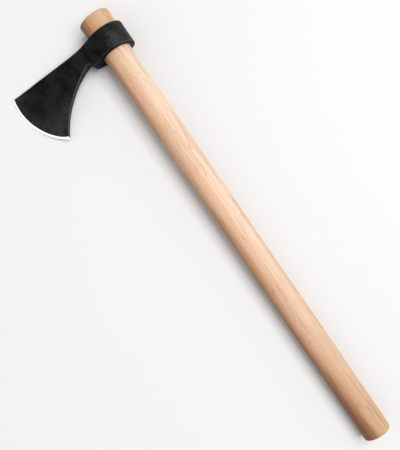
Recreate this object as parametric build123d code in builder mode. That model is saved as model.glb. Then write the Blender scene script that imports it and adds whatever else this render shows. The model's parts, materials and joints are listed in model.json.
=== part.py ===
from build123d import *
import math
import os

# A tomahawk: one forged head on a tapered hickory haft, held by the taper and a set screw.
# It lies on a level surface at Z = 0, on the cutting edge, the lower cheek and the butt.
# All lengths are in millimetres and all angles in degrees. "Station" is the distance
# along the haft from its upper end, and "reach" is the distance out towards the poll,
# so the blade is at negative reach.

# Haft
HAFT_LENGTH = 558.8            # 22 in
TOP_WIDTH = 38.5               # at the upper end, across the blade's plane
TOP_THICKNESS = 31.8           # 1 1/4 in
GRIP_WIDTH = 31.8
GRIP_THICKNESS = 26.0
TAPER_LENGTH = 52.0            # straight taper, to just under the head
BLEND_LENGTH = 22.0            # from the taper's end to the grip's even section
NOSE_SHARE = 0.535             # share of an egg section's width that is on the blade side
END_ROUND = 2.0                # rounding of both end rims

# Eye, the tube of the head that the haft passes through
EYE_TOP = 20.6                 # station of the upper rim
EYE_HEIGHT = 26.2              # beside the haft
POLL_DROP = 2.1                # the lower rim curves down this much to behind the poll
POLL_REACH = 23.3              # outer face behind the haft
CHEEK_THICKNESS = 41.6         # across both cheeks, outside
CHEEK_REACH = 0.6              # where the cheeks are thickest
EYE_CLEARANCE = 0.06           # running clearance around the haft
RIM_CHAMFER = 0.8              # inside both rims of the bore

# Blade, seen square to its flat, as (station, reach)
EDGE_RADIUS = 70.3             # the cutting edge is one arc
EDGE_CENTRE = (37.2, -59.9)
TOE_STATION = 21.7
HEEL_STATION = 95.4
TOP_EDGE_MIDDLE = (20.5, -70.0)
BEARD_MIDDLE = (60.9, -69.0)
BEARD_START = (41.1, -34.6)
NOTCH = (41.2, -32.2)          # inner corner between the beard and the lug
LUG_TIP = (47.1, -29.2)        # lower front corner of the eye
NOTCH_ROUND = 1.2
LUG_ROUND = 1.4
OUTLINE_ROUND = 0.9            # along every edge of the forging

# Half thickness of the head from the cheek out to the blade, as (reach, half thickness)
NECK = [(-14.0, 17.6), (-26.0, 9.9), (-40.0, 5.0), (-57.0, 2.8), (-80.0, 1.8), (-100.0, 1.3)]
NECK_END = (-140.0, 1.0)

# Ground bevel along the cutting edge
BEVEL_ANGLE = 21.5             # each side
EDGE_FLAT = 0.3                # left at the very edge

# Set screw, M6 with a flat point, through the lower cheek
SCREW_DIAMETER = 6.0
SCREW_LENGTH = 5.0
SCREW_CLEARANCE = 0.05
SCREW_GAP = 0.1                # between its point and the wood
SCREW_SOCKET = 3.0             # hexagon across flats
SOCKET_DEPTH = 2.4
SCREW_CHAMFER = 0.5

# How the tool lies
LIE_ROLL = 9.003               # blade down, about the haft
LIE_PITCH = 0.897              # butt down
LIE_ORIGIN = (-279.346, 52.683, 21.657)

haft_direction = Vector(1, 0, 0).rotate(Axis.Y, LIE_PITCH)
cheek_normal = Vector(0, 0, 1).rotate(Axis.X, LIE_ROLL).rotate(Axis.Y, LIE_PITCH)
flat = Plane(origin=LIE_ORIGIN, x_dir=haft_direction, z_dir=cheek_normal)
haft_axis = Axis(flat.origin, flat.x_dir)

eye_bottom = EYE_TOP + EYE_HEIGHT
eye_middle = EYE_TOP + EYE_HEIGHT / 2
grip_start = TAPER_LENGTH + BLEND_LENGTH


def across(station):
    """Plane square to the haft, its X towards the poll and its Y towards the upper cheek."""
    origin = flat.from_local_coords((station, 0, 0))
    return Plane(origin=origin, x_dir=flat.y_dir, z_dir=flat.x_dir)


def haft_size(station, top, grip):
    """A straight taper that eases out along a parabola to the grip's size."""
    slope = (top - grip) / (TAPER_LENGTH + BLEND_LENGTH / 2)
    if station <= TAPER_LENGTH:
        return top - slope * station
    left = max(0, grip_start - station)
    return grip + slope * left**2 / (2 * BLEND_LENGTH)


def egg(station, grow=0):
    """Section of the haft, centred on its width, with its longer nose towards the blade."""
    width = haft_size(station, TOP_WIDTH, GRIP_WIDTH)
    half = haft_size(station, TOP_THICKNESS, GRIP_THICKNESS) / 2 + grow
    nose = width * NOSE_SHARE + grow
    back = width * (1 - NOSE_SHARE) + grow
    widest = ((nose - back) / 2, 0)
    with BuildSketch(across(station)) as section:
        with BuildLine():
            EllipticalCenterArc(widest, back, half, start_angle=-90, arc_size=180)
            EllipticalCenterArc(widest, nose, half, start_angle=90, arc_size=180)
        make_face()
    return section.sketch


def edge_point(station):
    """Point of the cutting edge at a station."""
    rise = (EDGE_RADIUS**2 - (station - EDGE_CENTRE[0]) ** 2) ** 0.5
    return (station, EDGE_CENTRE[1] - rise)


os.makedirs("parts", exist_ok=True)

# Haft: a straight taper through the eye, running out into a grip of one section
blend_stations = [TAPER_LENGTH + BLEND_LENGTH * step / 4 for step in range(5)]
with BuildPart() as haft:
    loft([egg(0), egg(TAPER_LENGTH)], ruled=True)
    loft([egg(station) for station in blend_stations])
    extrude(egg(grip_start), amount=HAFT_LENGTH - grip_start)
    fillet(haft.faces().sort_by(haft_axis)[0].edges(), radius=END_ROUND)
    fillet(haft.faces().sort_by(haft_axis)[-1].edges(), radius=END_ROUND)
haft.part.label = "haft"
export_step(haft.part, "parts/haft.step")

# Head: the side view meets the end view, then the bevel, the bore and the screw hole are cut
toe = edge_point(TOE_STATION)
heel = edge_point(HEEL_STATION)
poll_margin = 6
widest_reach = haft_size(eye_middle, TOP_WIDTH, GRIP_WIDTH) * (NOSE_SHARE - 0.5)
screw_origin = flat.from_local_coords((eye_middle, widest_reach, 0))
screw_plane = Plane(screw_origin, x_dir=flat.x_dir, z_dir=-flat.z_dir)
thickest_at_screw = haft_size(eye_middle - SCREW_DIAMETER / 2, TOP_THICKNESS, GRIP_THICKNESS)
screw_point = thickest_at_screw / 2 + SCREW_GAP
with BuildPart() as head:
    with BuildSketch(flat) as side_view:
        with BuildLine():
            neck_top = (EYE_TOP, NECK[1][0])
            poll_top = (EYE_TOP, POLL_REACH + poll_margin)
            poll_bottom = (eye_bottom + POLL_DROP, POLL_REACH + poll_margin)
            Polyline(neck_top, poll_top, poll_bottom)
            ThreePointArc(poll_bottom, (eye_bottom, NECK[0][0] / 4), LUG_TIP)
            Polyline(LUG_TIP, NOTCH, BEARD_START)
            ThreePointArc(BEARD_START, BEARD_MIDDLE, heel)
            ThreePointArc(heel, edge_point(EDGE_CENTRE[0]), toe)
            ThreePointArc(toe, TOP_EDGE_MIDDLE, neck_top)
        make_face()
        fillet(side_view.vertices().sort_by_distance(NOTCH)[:2], radius=NOTCH_ROUND)
        fillet(side_view.vertices().sort_by_distance(LUG_TIP)[0], radius=LUG_ROUND)
    extrude(amount=CHEEK_THICKNESS, both=True)
    with BuildSketch(across(0)):
        with BuildLine():
            cheek = (CHEEK_REACH, CHEEK_THICKNESS / 2)
            EllipticalCenterArc((CHEEK_REACH, 0), POLL_REACH - CHEEK_REACH,
                                CHEEK_THICKNESS / 2, start_angle=0, arc_size=90)
            Spline(cheek, *NECK, NECK_END, tangents=[(-1, 0), (-1, 0)])
            Polyline(NECK_END, (NECK_END[0], 0), (POLL_REACH, 0))
        make_face()
        mirror(about=Plane.XZ)
    extrude(amount=2 * HEEL_STATION, mode=Mode.INTERSECT)
    fillet(head.edges().filter_by(GeomType.BSPLINE), radius=OUTLINE_ROUND)

    bevel_run = EDGE_RADIUS / 8
    bevel_rise = bevel_run * math.tan(math.radians(BEVEL_ANGLE))
    edge_centre = flat.from_local_coords(EDGE_CENTRE)
    beyond_toe = flat.from_local_coords(edge_point(TOE_STATION - bevel_run)) - edge_centre
    with BuildSketch(Plane(edge_centre, x_dir=beyond_toe, z_dir=beyond_toe.cross(flat.z_dir))):
        with BuildLine():
            Polyline((EDGE_RADIUS, EDGE_FLAT / 2),
                     (EDGE_RADIUS - bevel_run, EDGE_FLAT / 2 + bevel_rise),
                     (EDGE_RADIUS + bevel_run, EDGE_FLAT / 2 + bevel_rise),
                     (EDGE_RADIUS + bevel_run, EDGE_FLAT / 2), close=True)
        make_face()
        mirror(about=Plane.XZ)
    revolve(axis=Axis(edge_centre, flat.z_dir), revolution_arc=90, mode=Mode.SUBTRACT)

    bore_ends = [egg(EYE_TOP - 2, EYE_CLEARANCE), egg(TAPER_LENGTH, EYE_CLEARANCE)]
    loft(bore_ends, ruled=True, mode=Mode.SUBTRACT)
    rim_faces = [face for face in head.faces() if face.inner_wires()]
    chamfer([rim.inner_wires()[0].edges() for rim in rim_faces], length=RIM_CHAMFER)

    with BuildSketch(screw_plane):
        Circle(SCREW_DIAMETER / 2 + SCREW_CLEARANCE)
    extrude(amount=CHEEK_THICKNESS / 2, mode=Mode.SUBTRACT)
head.part.label = "head"
export_step(head.part, "parts/head.step")

# Set screw: its flat point faces the wood, and its hexagon socket opens at the cheek
with BuildPart() as set_screw:
    with BuildSketch(screw_plane.offset(screw_point)):
        Circle(SCREW_DIAMETER / 2)
    extrude(amount=SCREW_LENGTH)
    chamfer(set_screw.edges().filter_by(GeomType.CIRCLE), length=SCREW_CHAMFER)
    with BuildSketch(screw_plane.offset(screw_point + SCREW_LENGTH)):
        RegularPolygon(radius=SCREW_SOCKET / 2, side_count=6, major_radius=False)
    extrude(amount=-SOCKET_DEPTH, mode=Mode.SUBTRACT)
set_screw.part.label = "set_screw"
export_step(set_screw.part, "parts/set_screw.step")
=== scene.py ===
"""Looks of the tomahawk: a hickory haft, a black forged head with a ground edge and a set screw."""

import json
import math

import bmesh
import bpy
import numpy as np
from mathutils import Matrix, Vector, noise


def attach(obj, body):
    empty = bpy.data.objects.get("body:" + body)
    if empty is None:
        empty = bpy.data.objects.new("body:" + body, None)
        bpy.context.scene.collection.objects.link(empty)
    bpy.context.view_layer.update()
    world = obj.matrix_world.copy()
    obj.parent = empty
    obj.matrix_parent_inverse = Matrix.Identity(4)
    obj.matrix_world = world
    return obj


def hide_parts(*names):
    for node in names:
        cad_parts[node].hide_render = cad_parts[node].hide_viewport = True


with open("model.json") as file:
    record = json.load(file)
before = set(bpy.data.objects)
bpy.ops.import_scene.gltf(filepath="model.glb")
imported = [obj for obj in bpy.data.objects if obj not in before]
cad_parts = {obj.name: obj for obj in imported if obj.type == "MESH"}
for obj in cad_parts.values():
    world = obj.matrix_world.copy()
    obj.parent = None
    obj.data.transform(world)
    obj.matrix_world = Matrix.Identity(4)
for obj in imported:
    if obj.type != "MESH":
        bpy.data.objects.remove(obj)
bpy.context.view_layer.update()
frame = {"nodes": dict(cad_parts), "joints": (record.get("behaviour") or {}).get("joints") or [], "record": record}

MM = 0.001

# The tool's own axes: X runs down the haft from its upper end, Y to the poll, Z to the upper cheek
mounts = {mount["name"]: mount for mount in frame["record"]["mounts"]}
joints = {joint["name"]: joint for joint in frame["joints"]}
top_centre = Vector(mounts["top_end"]["pos_m"])
down_haft = Vector(mounts["butt_end"]["axis"]).normalized()
to_cheek = -Vector(joints["screw_slide"]["axis"]).normalized()
to_poll = to_cheek.cross(down_haft).normalized()
to_cheek = down_haft.cross(to_poll)
tool = Matrix((down_haft, to_poll, to_cheek)).transposed().to_4x4()
tool.translation = top_centre

# Haft sizes in millimetres, at stations measured down from its upper end
HAFT_LENGTH = 558.8
TOP_WIDTH = 38.5
TOP_THICKNESS = 31.8
GRIP_WIDTH = 31.8
GRIP_THICKNESS = 26.0
TAPER_LENGTH = 52.0
BLEND_LENGTH = 22.0
NOSE_SHARE = 0.535
END_ROUND = 2.0
EYE_TOP = 20.6
EYE_BOTTOM = 46.8

# Cutting edge, in the same millimetres: one arc with a bevel on both sides
EDGE_RADIUS = 70.3
EDGE_CENTRE = (37.2, -59.9)
EDGE_FLAT = 0.3
BEVEL_SLOPE = math.tan(math.radians(21.5))
BEVEL_REACH = 8.0

# Beard, the blade's lower outline: an arc through three points, as (station, reach)
BEARD_POINTS = ((41.1, -34.6), (60.9, -69.0), (95.4, -99.33))

# Set screw, M6, through the lower cheek
SCREW_STATION = 33.7
SCREW_REACH = 1.222
SCREW_POINT = -14.587
SCREW_OUTER = -19.587


def smooth_step(value, low, high):
    """0 below low, 1 above high, and a smooth rise between them."""
    share = np.clip((value - low) / (high - low), 0.0, 1.0)
    return share * share * (3 - 2 * share)


def make_object(name, verts, faces):
    """A mesh object from points in the tool's own axes, in millimetres."""
    mesh = bpy.data.meshes.new(name)
    mesh.from_pydata([tool @ (Vector(point) * MM) for point in verts], [], faces)
    piece = bpy.data.objects.new(name, mesh)
    bpy.context.scene.collection.objects.link(piece)
    return piece


def ring_faces(first, second, count):
    """Quads between two rings of vertices that start at these indices."""
    quads = []
    for i in range(count):
        j = (i + 1) % count
        quads.append((first + i, first + j, second + j, second + i))
    return quads


def skin(rings):
    """Closed skin over a list of rings, with a fan at each end."""
    count = len(rings[0])
    verts = [point for ring in rings for point in ring]
    faces = []
    for k in range(len(rings) - 1):
        faces += ring_faces(k * count, (k + 1) * count, count)
    for ring, start in ((rings[0], 0), (rings[-1], (len(rings) - 1) * count)):
        centre = sum((Vector(point) for point in ring), Vector()) / count
        verts.append(centre)
        hub = len(verts) - 1
        for i in range(count):
            j = (i + 1) % count
            fan = (start + i, start + j, hub)
            faces.append(fan if start else fan[::-1])
    return verts, faces


# ---- Haft ----

EGG_SIDES = 96
RING_STEP = 2.5
CAP_STEPS = 12
ROUND_STEPS = 7


def haft_size(station, top, grip):
    """A straight taper that eases out along a parabola to the grip's size."""
    slope = (top - grip) / (TAPER_LENGTH + BLEND_LENGTH / 2)
    if station <= TAPER_LENGTH:
        return top - slope * station
    left = max(0.0, TAPER_LENGTH + BLEND_LENGTH - station)
    return grip + slope * left**2 / (2 * BLEND_LENGTH)


def sanding(point):
    """How far the hand sanding has taken the wood down at a point, in millimetres."""
    x, y, z = point
    broad = noise.noise(Vector((x / 38, y / 11, z / 11)))
    fine = noise.noise(Vector((x / 9, y / 3.1, z / 3.1 + 40)))
    depth = 0.07 * (1 + broad) + 0.02 * (1 + fine)
    out_of_eye = min(abs(x - EYE_TOP), abs(x - EYE_BOTTOM)) / 6
    if EYE_TOP < x < EYE_BOTTOM:
        out_of_eye = 0.0
    return depth * min(1.0, out_of_eye)


def egg_ring(station, inset):
    """Egg section of the haft, its longer nose towards the blade, drawn in by an inset."""
    width = haft_size(station, TOP_WIDTH, GRIP_WIDTH)
    half = haft_size(station, TOP_THICKNESS, GRIP_THICKNESS) / 2
    nose = width * NOSE_SHARE
    back = width * (1 - NOSE_SHARE)
    ring = []
    for i in range(EGG_SIDES):
        angle = math.tau * (i + 0.5) / EGG_SIDES
        reach = back if math.cos(angle) > 0 else nose
        y = (nose - back) / 2 + reach * math.cos(angle)
        z = half * math.sin(angle)
        out = Vector((0.0, math.cos(angle) / reach, math.sin(angle) / half)).normalized()
        point = Vector((station, y, z)) - out * inset
        ring.append(point - out * sanding(point))
    return ring


def cap_rings(station):
    """Flat end of the haft, from its middle out to the rounded rim."""
    edge = egg_ring(station, END_ROUND)
    centre = sum(edge, Vector()) / EGG_SIDES
    return [[centre.lerp(point, k / CAP_STEPS) for point in edge] for k in range(1, CAP_STEPS)]


def rim_rings(end, inward):
    """Rounded rim, from the haft's side to its end. Inward is 1 or -1, along the haft."""
    rings = []
    for k in range(ROUND_STEPS + 1):
        turn = math.pi / 2 * k / ROUND_STEPS
        station = end + inward * END_ROUND * (1 - math.sin(turn))
        rings.append(egg_ring(station, END_ROUND * (1 - math.cos(turn))))
    return rings


def haft_rings():
    """All rings of the haft, from the middle of its upper end to the middle of its butt."""
    stations = np.arange(END_ROUND + RING_STEP, HAFT_LENGTH - END_ROUND - 1, RING_STEP)
    sides = [egg_ring(station, 0.0) for station in stations]
    top = cap_rings(0.0) + rim_rings(0.0, 1)[::-1]
    butt = rim_rings(HAFT_LENGTH, -1) + cap_rings(HAFT_LENGTH)[::-1]
    return top + sides + butt


haft_wood = make_object("haft_wood", *skin(haft_rings()))
haft_wood.data.shade_smooth()


# ---- Head ----

TOOL_AXES = np.array(tool.to_3x3())

# Millimetres: vertices this near become one, no edge stays longer than this, the step that the
# hammering's slope is taken over, and how near the bevel's plane a face counts as ground
WELD = 0.001
LONGEST_EDGE = 1.4
SLOPE_STEP = 0.05
ON_BEVEL = 0.03

# Turn of the surface, in radians a millimetre, where the edge wear and its painted highlight start and where they
# are full
FLAT_BEND = 0.3
SHARP_BEND = 0.8


def read_vectors(items, name):
    """One vector for each vertex, face or corner of a mesh, as an array."""
    flat = np.zeros(len(items) * 3, np.float32)
    items.foreach_get(name, flat)
    return flat.reshape(-1, 3).astype(float)


def to_tool(points):
    """Points in the row frame, in metres, as points in the tool's axes, in millimetres."""
    return (points - np.array(top_centre)) @ TOOL_AXES / MM


def edge_depth(points):
    """Distance in from the cutting edge's arc, which ends level with the arc's centre."""
    across = np.minimum(points[:, 1] - EDGE_CENTRE[1], 0.0)
    return EDGE_RADIUS - np.hypot(points[:, 0] - EDGE_CENTRE[0], across)


def forging_mask(points):
    """1 on the forged skin, and 0 on the bevel, in the bore and around the screw."""
    width = TOP_WIDTH - (TOP_WIDTH - GRIP_WIDTH) * points[:, 0] / (TAPER_LENGTH + BLEND_LENGTH / 2)
    thick = TOP_THICKNESS * width / TOP_WIDTH
    middle = width * (NOSE_SHARE - 0.5)
    around = np.hypot((points[:, 1] - middle) / (width / 2), points[:, 2] / (thick / 2))
    from_bore = (around - 1) * thick / 2
    from_screw = np.hypot(points[:, 0] - SCREW_STATION, points[:, 1] - SCREW_REACH)
    from_screw = np.where(points[:, 2] < 0, from_screw, 20.0)
    # Each pair is where the hammering starts and where it is full, in millimetres
    return (
        smooth_step(edge_depth(points), 5.0, 10.0)
        * smooth_step(from_bore, 1.4, 3.0)
        * smooth_step(from_screw, 3.8, 6.0)
    )


def hammering(points):
    """How far the forging's skin lies under its drawn shape, in millimetres."""
    depths = []
    for point in points:
        dents = noise.noise(Vector(point) / 9.0)
        waves = noise.noise(Vector(point) / 21.0 + Vector((7, 3, 5)))
        scale = noise.fractal(Vector(point) / 2.6, 0.9, 2.0, 2)
        depths.append(0.11 * (1 + dents) + 0.10 * (1 + waves) + 0.007 * (1 + scale))
    return np.array(depths) * forging_mask(points)


def cut_finer(work, longest):
    """Halves every edge over a length, longest first. Each face stays a triangle."""
    while True:
        lengths = [(edge.calc_length(), edge) for edge in work.edges]
        lengths = [entry for entry in lengths if entry[0] > longest]
        if not lengths:
            return
        lengths.sort(key=lambda entry: entry[0], reverse=True)
        for _, edge in lengths:
            _, middle = bmesh.utils.edge_split(edge, edge.verts[0], 0.5)
            for loop in list(middle.link_loops):
                opposite = loop.link_loop_next.link_loop_next.vert
                bmesh.utils.face_split(loop.face, middle, opposite)


def circle_through(points):
    """Centre and radius of the circle through three points."""
    (x1, y1), (x2, y2), (x3, y3) = points
    sides = np.array(((x2 - x1, y2 - y1), (x3 - x1, y3 - y1)))
    halves = (sides * sides).sum(1) / 2
    centre = np.linalg.solve(sides, halves)
    return centre + (x1, y1), np.hypot(*centre)


def corner_sharpness(mesh, places, normals):
    """For each vertex, 1 where the drawn surface turns sharply and 0 where it is flat."""
    ends = np.zeros(len(mesh.edges) * 2, np.int32)
    mesh.edges.foreach_get("vertices", ends)
    first, second = ends.reshape(-1, 2).T
    step = places[first] - places[second]
    turned = normals[first] - normals[second]
    bend = (step * turned).sum(1) / (step * step).sum(1)
    sharpest = np.zeros(len(places))
    np.maximum.at(sharpest, first, bend)
    np.maximum.at(sharpest, second, bend)
    return smooth_step(sharpest, FLAT_BEND, SHARP_BEND)


def keep_wear_and_painted_light(mesh, places, normals):
    """Stores, for each vertex, its edge wear with a painted highlight along the beard and on the eye's rims
    towards the poll, and how far it is on a side wall, which is given painted shade.
    """
    corner = corner_sharpness(mesh, places, normals)
    station, reach = places[:, 0], places[:, 1]
    facing_up = smooth_step(abs(normals[:, 2]), 0.35, 0.65)
    blade = smooth_step(-reach, 31.0, 34.0)
    # Painted highlight: a band along the beard's rounded edge, and on the eye's rims more towards the poll; the
    # sharp corners also get edge wear
    centre, radius = circle_through(BEARD_POINTS)
    from_beard = abs(np.hypot(station - centre[0], reach - centre[1]) - radius)
    beard = (1 - smooth_step(from_beard, 1.4, 2.6)) * blade * (station > BEARD_POINTS[0][0])
    rim = 0.3 + 0.7 * smooth_step(reach, 0.0, 14.0)
    # Painted shade: the blade's side walls and the eye's end faces are darkened
    blade_wall = blade * (1 - facing_up)
    eye_end = (1 - blade) * smooth_step(abs(normals[:, 0]), 0.6, 0.9)
    wear_and_highlight = np.maximum(corner * (blade + rim * (1 - blade)), beard) * (1 - blade_wall)
    side_wall = np.maximum(blade_wall, eye_end * 0.8)
    for name, values in (("wear_and_highlight", wear_and_highlight), ("side_wall", side_wall)):
        kept = mesh.attributes.new(name, "FLOAT", "POINT")
        kept.data.foreach_set("value", values)


def finer_head():
    """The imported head's mesh cut finer, with the drawn surface's normals as an attribute."""
    source = frame["nodes"]["head"].data
    mesh = source.copy()
    mesh.name = "head_forged"
    drawn = read_vectors(source.corner_normals, "vector")
    kept = mesh.attributes.new("drawn_normal", "FLOAT_VECTOR", "CORNER")
    kept.data.foreach_set("vector", drawn.ravel())

    work = bmesh.new()
    work.from_mesh(mesh)
    bmesh.ops.remove_doubles(work, verts=work.verts, dist=WELD * MM)
    cut_finer(work, LONGEST_EDGE * MM)
    work.normal_update()
    work.to_mesh(mesh)
    work.free()
    return mesh


def hammering_slope(places, depth):
    """How fast the hammering's depth changes along each of the tool's axes."""
    slope = np.zeros((len(places), 3))
    for axis in range(3):
        shift = np.zeros(3)
        shift[axis] = SLOPE_STEP
        slope[:, axis] = (hammering(places + shift) - depth) / SLOPE_STEP
    return slope


def forged_head():
    """The head, worked over with shallow hammer marks."""
    mesh = finer_head()
    rest = read_vectors(mesh.vertices, "co")
    places = to_tool(rest)
    out = read_vectors(mesh.vertex_normals, "vector")
    depth = hammering(places)
    slope = hammering_slope(places, depth)
    moved = rest - out * depth[:, None] * MM
    mesh.vertices.foreach_set("co", moved.ravel())

    normals = read_vectors(mesh.attributes["drawn_normal"].data, "vector")
    mesh.attributes.remove(mesh.attributes["drawn_normal"])
    ends = np.zeros(len(mesh.loops), np.int32)
    mesh.loops.foreach_get("vertex_index", ends)
    drawn_at = np.zeros((len(places), 3))
    np.add.at(drawn_at, ends, normals @ TOOL_AXES)
    drawn_at /= np.linalg.norm(drawn_at, axis=1)[:, None]
    keep_wear_and_painted_light(mesh, places, drawn_at)

    tilt = (slope @ TOOL_AXES.T)[ends]
    tilt -= normals * (tilt * normals).sum(1)[:, None]
    normals += tilt
    normals /= np.linalg.norm(normals, axis=1)[:, None]
    mesh.normals_split_custom_set(normals.tolist())

    head = bpy.data.objects.new("head_forged", mesh)
    bpy.context.scene.collection.objects.link(head)
    return head


def mark_bevel(mesh, slot):
    """Gives a material slot to the faces of the ground bevel and of the edge itself."""
    centres = to_tool(read_vectors(mesh.polygons, "center"))
    depth = edge_depth(centres)
    rise = EDGE_FLAT / 2 + depth * BEVEL_SLOPE
    on_bevel = (depth < BEVEL_REACH) & (abs(abs(centres[:, 2]) - rise) < ON_BEVEL)
    on_flat = depth < ON_BEVEL
    for polygon, ground in zip(mesh.polygons, on_bevel | on_flat):
        polygon.material_index = slot if ground else 0


head_forged = forged_head()


# ---- Set screw ----

SCREW_SIDES = 48
SCREW_RADIUS = 3.0
THREAD_STEP = 0.1
THREAD_PITCH = 1.0
THREAD_DEPTH = 0.55
GROOVE_HALF = 0.44             # half the groove's width, as a share of the pitch
ROOT_FLAT = 1.15               # over 1, so that the groove has a flat root
POINT_RADIUS = 2.2             # left of both ends by their chamfers
POINT_DISH = 0.12
SOCKET_ACROSS = 3.0
SOCKET_DEPTH = 2.4
SOCKET_MOUTH = 3.25            # across flats at the socket's broken edge
SOCKET_BREAK = 0.12
DRILL_RADIUS = 0.5             # at the tip of the drilled cone in the floor of the socket
DRILL_DEPTH = 0.4


def screw_ring(height, radius_at):
    """A ring at a height up from the screw's point, with a radius for each angle."""
    ring = []
    for i in range(SCREW_SIDES):
        angle = math.tau * i / SCREW_SIDES
        radius = radius_at(angle)
        x = SCREW_STATION + radius * math.cos(angle)
        y = SCREW_REACH + radius * math.sin(angle)
        ring.append(Vector((x, y, SCREW_POINT - height)))
    return ring


def hexagon(angle, across):
    """Radius of a hexagon at an angle."""
    within = (angle + math.pi / 6) % (math.pi / 3) - math.pi / 6
    return across / 2 / math.cos(within)


def thread_radius(height, length):
    """Radius of the threaded barrel, with a chamfer at both ends."""
    def radius_at(angle):
        turn = (height / THREAD_PITCH + angle / math.tau) % 1.0
        groove = max(0.0, 1 - abs(turn - 0.5) / GROOVE_HALF)
        barrel = SCREW_RADIUS - THREAD_DEPTH * min(1.0, groove * ROOT_FLAT)
        from_end = min(height, length - height)
        return min(barrel, POINT_RADIUS + from_end)
    return radius_at


def screw_rings():
    """All rings of the screw: its flat point, its thread, its socket and the socket's floor."""
    length = SCREW_POINT - SCREW_OUTER
    rings = []
    for share in (0.15, 0.5, 0.8):
        rings.append(screw_ring(POINT_DISH * (1 - share), lambda angle: share * POINT_RADIUS))
    for height in np.arange(0.0, length + 0.001, THREAD_STEP):
        rings.append(screw_ring(height, thread_radius(height, length)))
    rings.append(screw_ring(length, lambda angle: hexagon(angle, SOCKET_MOUTH)))
    rings.append(screw_ring(length - SOCKET_BREAK, lambda angle: hexagon(angle, SOCKET_ACROSS)))
    for depth in (0.8, 1.6, SOCKET_DEPTH):
        rings.append(screw_ring(length - depth, lambda angle: hexagon(angle, SOCKET_ACROSS)))
    rings.append(screw_ring(length - SOCKET_DEPTH, lambda angle: SOCKET_ACROSS / 2 - 0.02))
    rings.append(screw_ring(length - SOCKET_DEPTH - DRILL_DEPTH, lambda angle: DRILL_RADIUS))
    return rings


set_screw_threaded = make_object("set_screw_threaded", *skin(screw_rings()))
for polygon in set_screw_threaded.data.polygons:
    polygon.flip()
set_screw_threaded.data.set_sharp_from_angle(angle=math.radians(28))


# ---- Materials ----

class Paint:
    """One material's nodes. Each method adds a node and returns its output."""

    def __init__(self, name):
        self.material = bpy.data.materials.new(name)
        self.material.use_nodes = True
        self.tree = self.material.node_tree
        self.shader = self.tree.nodes["Principled BSDF"]
        row_place = self.node("ShaderNodeTexCoord", {}, output="Object")
        values = {"Vector": row_place, "Location": top_centre, "Rotation": tool.to_euler()}
        self.place = self.node("ShaderNodeMapping", values, vector_type="TEXTURE")

    def node(self, kind, values, output=0, **settings):
        made = self.tree.nodes.new(kind)
        for key, value in settings.items():
            setattr(made, key, value)
        for key, value in values.items():
            self.put(made.inputs[key], value)
        return made.outputs[output]

    def put(self, socket, value):
        if isinstance(value, bpy.types.NodeSocket):
            self.tree.links.new(value, socket)
        else:
            socket.default_value = value

    def finish(self, **values):
        for key, value in values.items():
            self.put(self.shader.inputs[key.replace("_", " ")], value)
        return self.material

    def stretched(self, x, y, z, place=None):
        """The tool's coordinates, scaled so that one unit is x, y and z millimetres."""
        scale = (1 / (x * MM), 1 / (y * MM), 1 / (z * MM))
        return self.vector("MULTIPLY", place or self.place, scale)

    def vector(self, operation, first, second):
        return self.node("ShaderNodeVectorMath", {0: first, 1: second}, operation=operation)

    def length(self, place, axes):
        """Length of a place vector, counting only the axes that are 1."""
        kept = self.vector("MULTIPLY", place, axes)
        return self.node("ShaderNodeVectorMath", {0: kept}, output=1, operation="LENGTH")

    def split(self, place):
        """The three parts of a place vector."""
        parts = self.tree.nodes.new("ShaderNodeSeparateXYZ")
        self.put(parts.inputs[0], place)
        return parts.outputs

    def noise(self, place, detail=2.0, roughness=0.5, distortion=0.0):
        values = {"Vector": place, "Scale": 1.0, "Detail": detail}
        values["Roughness"] = roughness
        values["Distortion"] = distortion
        return self.node("ShaderNodeTexNoise", values)

    def math(self, operation, first, second=0.5):
        return self.node("ShaderNodeMath", {0: first, 1: second}, operation=operation)

    def span(self, value, low, high, start=0.0, end=1.0):
        """The value from low to high, brought smoothly to start to end."""
        values = {0: value, 1: low, 2: high, 3: start, 4: end}
        return self.node("ShaderNodeMapRange", values, interpolation_type="SMOOTHSTEP")

    def mix(self, share, first, second, blend="MIX"):
        values = {0: share, 6: first, 7: second}
        return self.node("ShaderNodeMix", values, output=2, data_type="RGBA", blend_type=blend)

    def bump(self, height, depth, under=None):
        values = {"Height": height, "Strength": 1.0, "Distance": depth * MM}
        if under:
            values["Normal"] = under
        return self.node("ShaderNodeBump", values)


def grey(level):
    return (level, level, level, 1.0)


# Hickory: its colours, with painted shade and painted light drawn in as darker wood on the blade's side and paler
# wood on the poll's side, the tints of painted shade laid over them, and its grain in metres
LIT_SIDE_WOOD = (0.775, 0.590, 0.45, 1.0)
SHADED_SIDE_WOOD = (0.66, 0.385, 0.23, 1.0)
STREAK = (0.62, 0.35, 0.20, 1.0)
EARLY_WOOD = (0.56, 0.30, 0.165, 1.0)
PORE = (0.30, 0.135, 0.062, 1.0)
END_GRAIN = (0.46, 0.23, 0.115, 1.0)
# Tints of painted shade: the blade's side, that side near the butt, the butt, the lower haft and the stub
SHADE_TINT = (0.50, 0.370, 0.250, 1.0)
BUTT_SIDE_SHADE_TINT = (0.84, 0.75, 0.70, 1.0)
BUTT_SHADE_TINT = (0.95, 0.94, 0.88, 1.0)
LOWER_HAFT_SHADE_TINT = (0.79, 0.73, 0.655, 1.0)
STUB_SHADE_TINT = (0.79, 0.70, 0.57, 1.0)
SWAY = 0.009
FROM_PITH = (0, 0.057, 0.041)
RING_WIDTH = 0.0023


def swayed(paint):
    """The tool's coordinates, swayed to the sides so that the grain isn't dead straight."""
    values = {"Vector": paint.stretched(150, 26, 26), "Scale": 1.0, "Detail": 1.5}
    sway = paint.node("ShaderNodeTexNoise", values, output=1)
    centred = paint.vector("SUBTRACT", sway, (0.5, 0.5, 0.5))
    shift = paint.vector("MULTIPLY", centred, (0.0, SWAY, SWAY))
    return paint.vector("ADD", paint.place, shift)


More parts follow.
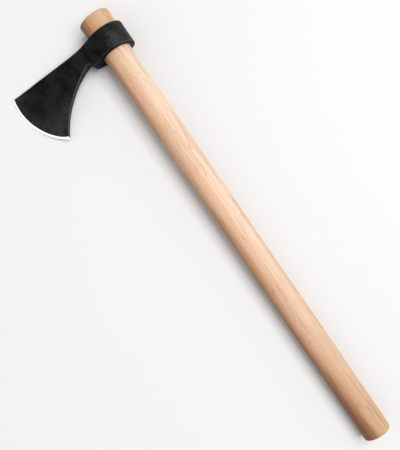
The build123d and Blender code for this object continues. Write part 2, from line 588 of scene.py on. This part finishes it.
def early_wood(paint, place):
    """1 in the early wood of each year's ring. The pith lies outside the haft."""
    from_pith = paint.vector("ADD", place, FROM_PITH)
    years = paint.math("DIVIDE", paint.length(from_pith, (0, 1, 1)), RING_WIDTH)
    uneven = paint.noise(paint.stretched(400, 7, 7, place), detail=1.0)
    years = paint.math("ADD", years, paint.math("MULTIPLY", uneven, 1.6))
    season = paint.math("FRACT", years, 0.0)
    starting = paint.span(season, 0.0, 0.10)
    ending = paint.span(season, 0.16, 0.46, 1.0, 0.0)
    return paint.math("MULTIPLY", starting, ending)


def wood_pores(paint, place, early):
    """Short pores along the grain, most of them in the early wood."""
    pores = paint.noise(paint.stretched(5.5, 0.24, 0.24, place), detail=1.0)
    share = paint.math("ADD", early, 0.25)
    return paint.math("MULTIPLY", paint.span(pores, 0.60, 0.70), share)


def wood_flecks(paint):
    """A few small dark flecks."""
    values = {"Vector": paint.stretched(9, 3.2, 3.2), "Scale": 1.0}
    flecks = paint.node("ShaderNodeTexVoronoi", values)
    flecks = paint.span(flecks, 0.03, 0.13, 1.0, 0.0)
    rare = paint.noise(paint.stretched(31, 12, 12), detail=0.0)
    return paint.math("MULTIPLY", flecks, paint.span(rare, 0.60, 0.66))


def wood_threads(paint, place):
    """Fine dark lines along the grain, which come and go."""
    threads = paint.noise(paint.stretched(60, 4.5, 4.5, place), detail=1.0)
    threads = paint.math("ABSOLUTE", paint.math("SUBTRACT", threads, 0.5), 0.0)
    threads = paint.span(threads, 0.0, 0.026, 1.0, 0.0)
    some = paint.noise(paint.stretched(45, 9, 9), detail=0.0)
    return paint.math("MULTIPLY", threads, paint.span(some, 0.44, 0.58))


def end_grain(paint, along):
    """1 on both end faces of the haft."""
    middle = HAFT_LENGTH / 2
    from_middle = paint.math("ABSOLUTE", paint.math("SUBTRACT", along, middle * MM), 0.0)
    return paint.span(from_middle, (middle - 0.9) * MM, (middle - 0.1) * MM)


def hickory():
    """Pale straight-grained hickory, sanded and lightly oiled, with painted shade on its blade's side and towards
    its ends.
    """
    paint = Paint("hickory_wood")
    place = swayed(paint)
    early = early_wood(paint, place)
    fibres = paint.noise(paint.stretched(26, 0.42, 0.42, place), detail=3.0, roughness=0.6)
    streaks = paint.noise(paint.stretched(75, 1.5, 1.5, place), detail=2.0, roughness=0.6)
    broad = paint.noise(paint.stretched(240, 6.5, 6.5, place), detail=1.0)
    pores = wood_pores(paint, place, early)

    # Parts of the haft: its lower part, where hands hold it, the stub above the eye, and the butt
    along, over, _ = paint.split(place)
    lower_haft = paint.span(along, 0.27, 0.57)
    stub = paint.span(along, 0.02, 0.065, 1.0, 0.0)
    butt = paint.span(along, 0.42, 0.55)

    # Painted shade on the blade's side and painted light on the poll's side, drawn as darker and paler wood, with
    # a wavering border that lies nearer the poll at both ends
    waver = paint.math("MULTIPLY", paint.math("SUBTRACT", broad, 0.5), 12 * MM)
    over = paint.math("ADD", over, waver)
    over = paint.math("SUBTRACT", over, paint.math("MULTIPLY", lower_haft, 3.5 * MM))
    over = paint.math("SUBTRACT", over, paint.math("MULTIPLY", stub, 2.5 * MM))
    colour = paint.mix(paint.span(over, -0.014, 0.014), SHADED_SIDE_WOOD, LIT_SIDE_WOOD)

    line = paint.math("MULTIPLY", paint.span(streaks, 0.44, 0.68), 0.52)
    colour = paint.mix(line, colour, STREAK)
    colour = paint.mix(paint.math("MULTIPLY", early, 0.29), colour, EARLY_WOOD)
    fine = paint.span(fibres, 0.25, 0.75, 0.86, 1.10)
    tint = paint.node("ShaderNodeCombineColor", {0: fine, 1: fine, 2: fine})
    colour = paint.mix(1.0, colour, tint, "MULTIPLY")
    marks = ((pores, 0.42), (wood_flecks(paint), 0.55), (wood_threads(paint, place), 0.45))
    for mark, strength in marks:
        colour = paint.mix(paint.math("MULTIPLY", mark, strength), colour, PORE)

    # Painted shade, each tint multiplied in: deeper on the blade's side, deeper still there near the butt, and
    # darker towards both ends where the light falls off
    shade_end = paint.math("ADD", paint.math("MULTIPLY", lower_haft, 4.5 * MM), -6.5 * MM)
    shade = paint.span(over, -0.018, shade_end, 1.0, 0.0)
    butt_side_shade = paint.math("MULTIPLY", shade, butt)
    tints = (
        (shade, SHADE_TINT),
        (butt_side_shade, BUTT_SIDE_SHADE_TINT),
        (butt, BUTT_SHADE_TINT),
        (lower_haft, LOWER_HAFT_SHADE_TINT),
        (stub, STUB_SHADE_TINT),
    )
    for share, tint in tints:
        colour = paint.mix(share, colour, tint, "MULTIPLY")
    at_end = paint.math("MULTIPLY", end_grain(paint, along), 0.5)
    colour = paint.mix(at_end, colour, END_GRAIN)

    rough = paint.span(fibres, 0.2, 0.8, 0.50, 0.62)
    rough = paint.math("ADD", rough, paint.math("MULTIPLY", pores, 0.2))
    grain = paint.math("SUBTRACT", paint.math("MULTIPLY", fibres, 0.5), pores)
    normal = paint.bump(grain, 0.05)
    return paint.finish(
        Base_Color=colour, Roughness=rough, Normal=normal, IOR=1.5, Coat_Weight=0.0
    )


def from_edge_centre(paint):
    """Place from the centre of the cutting edge's arc, in metres."""
    centre = (EDGE_CENTRE[0] * MM, EDGE_CENTRE[1] * MM, 0.0)
    return paint.vector("SUBTRACT", paint.place, centre)


def edge_distance(paint):
    """Distance in from the cutting edge's arc, in metres."""
    radius = paint.length(from_edge_centre(paint), (1, 1, 0))
    return paint.math("SUBTRACT", EDGE_RADIUS * MM, radius)


def forge_black():
    """Dark oxide forge finish with mottled scale, thinner towards the ground edge."""
    paint = Paint("forge_black")
    clouds = paint.noise(paint.stretched(19, 15, 19), detail=5.0, roughness=0.6, distortion=0.25)
    patches = paint.noise(paint.stretched(26, 20, 26), detail=2.0, distortion=0.3)
    speckle = paint.noise(paint.stretched(1.1, 1.1, 1.1), detail=2.0, roughness=0.65)
    grit = paint.noise(paint.stretched(0.22, 0.22, 0.22), detail=2.0)
    stain = paint.span(clouds, 0.40, 0.60)
    near_edge = paint.span(edge_distance(paint), 0.003, 0.022, 1.0, 0.0)
    along, over, _ = paint.split(paint.place)
    beardward = paint.span(along, 0.048, 0.082)
    past_blade = paint.span(over, -0.042, -0.028)
    neck = paint.math("MULTIPLY", past_blade, paint.span(over, -0.012, 0.0, 1.0, 0.0))
    thin = paint.math("MAXIMUM", paint.math("MULTIPLY", near_edge, 0.6), beardward)
    thin = paint.math("MULTIPLY", thin, paint.span(patches, 0.36, 0.58, 0.3, 1.0))
    # Edge wear with painted highlight lightens the corners, the band along the beard and the eye's rims; the side
    # walls are darkened as painted shade
    wear_and_highlight = paint.node("ShaderNodeAttribute", {}, output="Fac", attribute_name="wear_and_highlight")
    wall = paint.node("ShaderNodeAttribute", {}, output="Fac", attribute_name="side_wall")
    colour = paint.mix(stain, grey(0.0008), grey(0.0036))
    colour = paint.mix(thin, colour, grey(0.0100))
    fleck_share = paint.math("ADD", thin, 0.04)
    flecks = paint.math("MULTIPLY", paint.span(speckle, 0.48, 0.66), fleck_share)
    colour = paint.mix(flecks, colour, grey(0.070))
    wear_and_highlight = paint.math("MULTIPLY", wear_and_highlight, paint.span(speckle, 0.30, 0.60, 0.4, 1.0))
    # Painted shade: darker on the side walls
    colour = paint.mix(wall, colour, grey(0.0006))
    colour = paint.mix(wear_and_highlight, colour, grey(0.06))
    rough = paint.span(clouds, 0.40, 0.60, 0.46, 0.38)
    rough = paint.math("ADD", rough, paint.math("MULTIPLY", speckle, 0.08))
    gloss = paint.math("ADD", paint.math("MULTIPLY", stain, 0.12), 0.12)
    gloss = paint.math("MULTIPLY", gloss, paint.span(wall, 0.0, 1.0, 1.0, 0.35))
    gloss = paint.math("MULTIPLY", gloss, paint.span(neck, 0.0, 1.0, 1.0, 0.5))
    skin_height = paint.math("ADD", paint.math("MULTIPLY", speckle, 0.7), grit)
    normal = paint.bump(skin_height, 0.035)
    return paint.finish(
        Base_Color=colour, Roughness=rough, Normal=normal, Specular_IOR_Level=gloss
    )


def ground_steel():
    """Bare steel, ground across the edge and honed at the very edge."""
    paint = Paint("ground_steel")
    x, y, _ = paint.split(from_edge_centre(paint))
    angle = paint.math("ARCTAN2", x, y)
    lines = paint.node("ShaderNodeCombineXYZ", {0: paint.math("MULTIPLY", angle, 260.0)})
    scratches = paint.noise(lines, detail=4.0, roughness=0.7)
    cloud = paint.noise(paint.stretched(5, 5, 5), detail=2.0)
    honed = paint.span(edge_distance(paint), 0.0003, 0.0011, 1.0, 0.0)
    colour = paint.mix(paint.span(scratches, 0.3, 0.7), grey(0.86), grey(0.95))
    colour = paint.mix(paint.span(cloud, 0.5, 0.8, 0.0, 0.3), colour, (0.80, 0.79, 0.77, 1.0))
    colour = paint.mix(honed, colour, grey(0.97))
    rough = paint.span(scratches, 0.25, 0.75, 0.20, 0.36)
    normal = paint.bump(scratches, 0.012)
    return paint.finish(Base_Color=colour, Roughness=rough, Normal=normal, Metallic=1.0)


def black_oxide():
    """Oiled black oxide on the set screw, its tone varying in soft clouds."""
    paint = Paint("screw_black_oxide")
    cloud = paint.noise(paint.stretched(2.2, 2.2, 2.2), detail=3.0)
    grain = paint.noise(paint.stretched(0.25, 0.25, 0.25), detail=2.0)
    colour = paint.mix(paint.span(cloud, 0.35, 0.7), grey(0.016), (0.045, 0.043, 0.041, 1.0))
    rough = paint.span(cloud, 0.3, 0.7, 0.36, 0.52)
    normal = paint.bump(grain, 0.01)
    return paint.finish(Base_Color=colour, Roughness=rough, Normal=normal, Metallic=0.6)


haft_wood.data.materials.append(hickory())
head_forged.data.materials[0] = forge_black()
head_forged.data.materials.append(ground_steel())
mark_bevel(head_forged.data, 1)
set_screw_threaded.data.materials.append(black_oxide())

for piece, node, slot in (
    (haft_wood, "haft", "hickory"),
    (head_forged, "head", "forged_steel"),
    (set_screw_threaded, "set_screw", "screw_steel"),
):
    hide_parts(node)
    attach(piece, node)


# ---- Floor, light and camera ----

FLOOR_HALF = 4.0

floor_mesh = bpy.data.meshes.new("floor")
corners = [(-FLOOR_HALF, -FLOOR_HALF, 0), (FLOOR_HALF, -FLOOR_HALF, 0)]
corners += [(FLOOR_HALF, FLOOR_HALF, 0), (-FLOOR_HALF, FLOOR_HALF, 0)]
floor_mesh.from_pydata(corners, [], [(0, 1, 2, 3)])
floor = bpy.data.objects.new("floor", floor_mesh)
bpy.context.scene.collection.objects.link(floor)
floor_paint = Paint("pale_floor")
floor_mesh.materials.append(
    floor_paint.finish(Base_Color=grey(0.71), Roughness=0.95, Specular_IOR_Level=0.1)
)

world = bpy.data.worlds.new("studio")
world.use_nodes = True
sky = world.node_tree.nodes["Background"]
sky.inputs["Color"].default_value = (1.0, 1.0, 1.0, 1.0)
sky.inputs["Strength"].default_value = 0.30
bpy.context.scene.world = world


def soft_light(name, place, target, width, height, power):
    """A rectangular area light in metres and watts, turned to face its target."""
    lamp = bpy.data.lights.new(name, "AREA")
    lamp.shape = "RECTANGLE"
    lamp.size = width
    lamp.size_y = height
    lamp.energy = power
    holder = bpy.data.objects.new(name, lamp)
    holder.location = place
    holder.rotation_mode = "QUATERNION"
    holder.rotation_quaternion = (Vector(target) - Vector(place)).to_track_quat("-Z", "Y")
    bpy.context.scene.collection.objects.link(holder)


soft_light("key", (0.10, 0.75, 1.85), (0, 0, 0), 1.8, 1.4, 41.0)
soft_light("fill", (0.74, -1.06, 1.54), (0, 0, 0), 1.2, 0.9, 6.5)
soft_light("card", (-0.78, -1.17, 0.63), (-0.25, 0, 0), 1.6, 0.6, 3.1)
soft_light("heel_card", (-0.12, -1.20, 0.80), (-0.20, -0.06, 0), 0.6, 0.5, 1.0)
soft_light("side", (-0.75, 1.35, 0.65), (-0.20, 0.05, 0), 1.4, 0.5, 3.3)

# The camera's lens, place and turn are fitted to the tool's outline in the photo
camera_data = bpy.data.cameras.new("camera")
camera_data.sensor_fit = "HORIZONTAL"
camera_data.sensor_width = 36.0
camera_data.lens = 46.786
camera = bpy.data.objects.new("camera", camera_data)
view_right = Vector((0.5657, 0.82226, 0.06229))
view_up = Vector((-0.82409, 0.56101, 0.07843))
camera_turn = Matrix((view_right, view_up, view_right.cross(view_up))).transposed()
camera.matrix_world = camera_turn.to_4x4()
camera.location = (-0.00402, -0.03507, 0.59124)
bpy.context.scene.collection.objects.link(camera)
bpy.context.scene.camera = camera
bpy.context.scene.view_settings.view_transform = "Standard"
